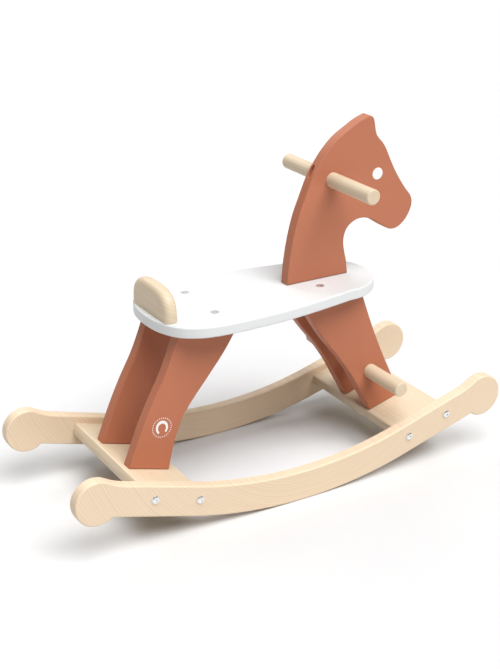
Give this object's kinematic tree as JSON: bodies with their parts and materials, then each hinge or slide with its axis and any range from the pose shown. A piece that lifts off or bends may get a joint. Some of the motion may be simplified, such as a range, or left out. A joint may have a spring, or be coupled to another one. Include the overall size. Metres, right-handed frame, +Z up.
{
  "type": "rocking horse",
  "caption": "Wooden child's rocking horse: curved rockers with round end stops, crossboards, board legs, seat with backrest lip, neck and head board, handle bar and foot rest.",
  "frame": {"origin": "on the floor under the middle of the rockers, on the centre plane", "axes": "+X the way the horse faces, +Y its left, +Z up"},
  "size_m": [0.7, 0.2648, 0.507],
  "materials": {
    "birch": "clear matt lacquer on pale birch",
    "beech_pin": "raw beech",
    "terracotta": "satin terracotta paint on wood",
    "white_paint": "satin white paint on wood",
    "steel": "bright zinc-plated steel"
  },
  "bodies": {
    "root": {"backrest_screw_left": "steel", "backrest_screw_right": "steel", "barrel_nut_front_left_1": "steel", "barrel_nut_front_left_2": "steel", "barrel_nut_front_right_1": "steel", "barrel_nut_front_right_2": "steel", "barrel_nut_rear_left_1": "steel", "barrel_nut_rear_left_2": "steel", "barrel_nut_rear_right_1": "steel", "barrel_nut_rear_right_2": "steel", "foot_rest": "birch", "foot_rest_screw_left": "steel", "foot_rest_screw_right": "steel", "front_crossboard": "birch", "front_foot_screw_left_1": "steel", "front_foot_screw_left_2": "steel", "front_foot_screw_right_1": "steel", "front_foot_screw_right_2": "steel", "front_leg_left": "terracotta", "front_leg_right": "terracotta", "handle_bar": "birch", "handle_lock_screw": "steel", "head_board": "terracotta", "head_pin_1": "beech_pin", "head_pin_2": "beech_pin", "head_screw_1": "steel", "head_screw_2": "steel", "rear_crossboard": "birch", "rear_foot_screw_left_1": "steel", "rear_foot_screw_left_2": "steel", "rear_foot_screw_right_1": "steel", "rear_foot_screw_right_2": "steel", "rear_leg_left": "terracotta", "rear_leg_right": "terracotta", "rocker_bolt_front_left_1": "steel", "rocker_bolt_front_left_2": "steel", "rocker_bolt_front_right_1": "steel", "rocker_bolt_front_right_2": "steel", "rocker_bolt_rear_left_1": "steel", "rocker_bolt_rear_left_2": "steel", "rocker_bolt_rear_right_1": "steel", "rocker_bolt_rear_right_2": "steel", "rocker_left": "birch", "rocker_right": "birch", "seat_backrest": "birch", "seat_board": "white_paint", "seat_pin_front_left": "beech_pin", "seat_pin_front_right": "beech_pin", "seat_pin_rear_left": "beech_pin", "seat_pin_rear_right": "beech_pin", "seat_screw_front_left": "steel", "seat_screw_front_right": "steel", "seat_screw_rear_left": "steel", "seat_screw_rear_right": "steel"}
  },
  "joints": []
}
